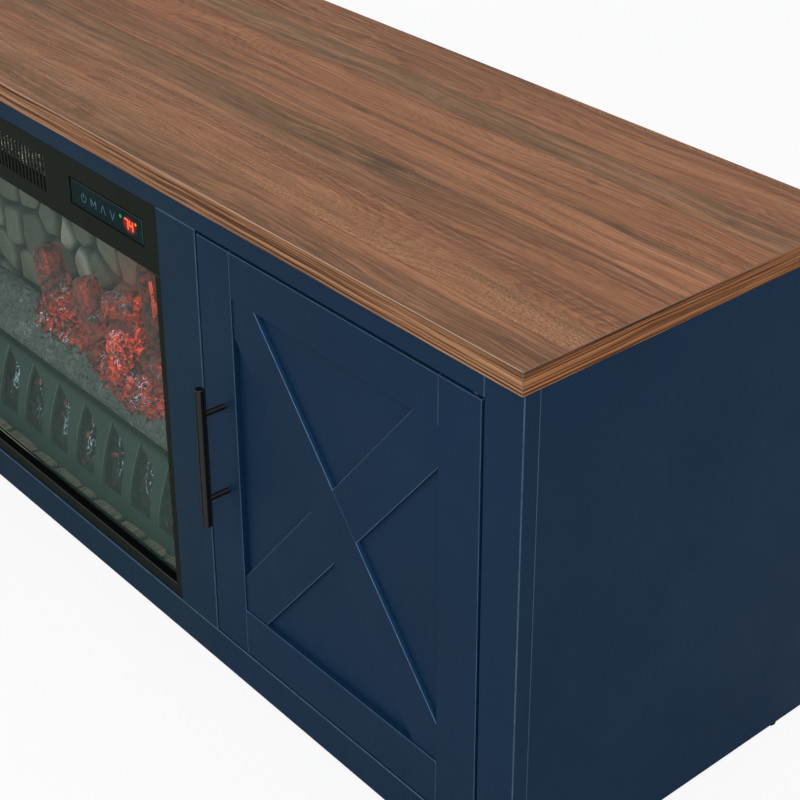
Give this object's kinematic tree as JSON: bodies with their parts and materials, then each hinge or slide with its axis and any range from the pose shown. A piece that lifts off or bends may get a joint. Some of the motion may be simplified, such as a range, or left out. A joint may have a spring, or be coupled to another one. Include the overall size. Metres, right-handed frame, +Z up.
{
  "type": "fireplace tv stand",
  "caption": "Low media cabinet with an electric fire insert in the middle bay and two inset doors with crossed braces, bar handles and shelves behind.",
  "frame": {"origin": "middle of the footprint, handles included, on the floor", "axes": "+X to the right along the width, +Y to the back, +Z up; the doors and the fire face -Y"},
  "size_m": [1.626, 0.446, 0.554],
  "materials": {
    "navy_paint": "navy satin foil on board",
    "walnut_laminate": "matt walnut-grain laminate",
    "board_core": "navy melamine board",
    "hardboard": "plain brown hardboard",
    "black_metal": "satin black",
    "fascia_black": "matt black",
    "touch_glass": "gloss dark teal",
    "fire_glass": "clear, faintly green-grey",
    "dark_sheet": "dark coated sheet steel",
    "zinc_steel": "zinc plated",
    "stone_moulding": "moulded, painted as grey-brown stones",
    "grate_finish": "moulded, dark grey",
    "ember_moulding": "translucent red moulding lit from below",
    "rotor_foil": "bright",
    "black_plastic": "matt black"
  },
  "bodies": {
    "cabinet": {"top_panel": "walnut_laminate", "bottom_panel": "board_core", "rear_stretcher": "board_core", "top_rail": "navy_paint", "bottom_rail": "navy_paint", "right_side_panel": "navy_paint", "right_outer_stile": "navy_paint", "right_centre_stile": "navy_paint", "right_divider": "board_core", "right_shelf": "board_core", "right_back_panel": "hardboard", "right_front_glide": "black_plastic", "right_rear_glide": "black_plastic", "right_magnet_catch": "black_plastic", "right_lower_pivot_pin": "zinc_steel", "right_upper_pivot_pin": "zinc_steel", "left_side_panel": "navy_paint", "left_outer_stile": "navy_paint", "left_centre_stile": "navy_paint", "left_divider": "board_core", "left_shelf": "board_core", "left_back_panel": "hardboard", "left_front_glide": "black_plastic", "left_rear_glide": "black_plastic", "left_magnet_catch": "black_plastic", "left_lower_pivot_pin": "zinc_steel", "left_upper_pivot_pin": "zinc_steel", "fascia_top": "fascia_black", "fascia_frame": "fascia_black", "control_panel": "touch_glass", "fire_glass": "fire_glass", "firebox_casing": "dark_sheet", "heater_duct": "dark_sheet", "blower_motor": "dark_sheet", "flame_rotor_motor": "dark_sheet", "stone_wall": "stone_moulding", "fire_grate": "grate_finish", "log_set": "ember_moulding", "heating_element": "zinc_steel", "power_inlet_gland": "black_plastic"},
    "right_door": {"right_door_panel": "navy_paint", "right_door_hinge_stile": "navy_paint", "right_door_lock_stile": "navy_paint", "right_door_top_rail": "navy_paint", "right_door_bottom_rail": "navy_paint", "right_door_long_brace": "navy_paint", "right_door_upper_brace": "navy_paint", "right_door_lower_brace": "navy_paint", "right_door_handle": "black_metal"},
    "left_door": {"left_door_panel": "navy_paint", "left_door_hinge_stile": "navy_paint", "left_door_lock_stile": "navy_paint", "left_door_top_rail": "navy_paint", "left_door_bottom_rail": "navy_paint", "left_door_long_brace": "navy_paint", "left_door_upper_brace": "navy_paint", "left_door_lower_brace": "navy_paint", "left_door_handle": "black_metal"},
    "blower": {"blower_wheel": "zinc_steel"},
    "flicker": {"flame_rotor": "rotor_foil"}
  },
  "joints": [
    {"name": "right_door_hinge", "type": "hinge", "parent": "cabinet", "child": "right_door", "pos_m": [0.7535, -0.184, 0.27675], "axis": [0, 0, 1], "range_deg": [0, 105]},
    {"name": "left_door_hinge", "type": "hinge", "parent": "cabinet", "child": "left_door", "pos_m": [-0.7535, -0.184, 0.27675], "axis": [0, 0, -1], "range_deg": [0, 105]},
    {"name": "blower_spin", "type": "hinge", "parent": "cabinet", "child": "blower", "pos_m": [0, -0.095, 0.46665], "axis": [1, 0, 0], "continuous": true},
    {"name": "flame_rotor_spin", "type": "hinge", "parent": "cabinet", "child": "flicker", "pos_m": [0, -0.099, 0.1082], "axis": [1, 0, 0], "continuous": true}
  ]
}
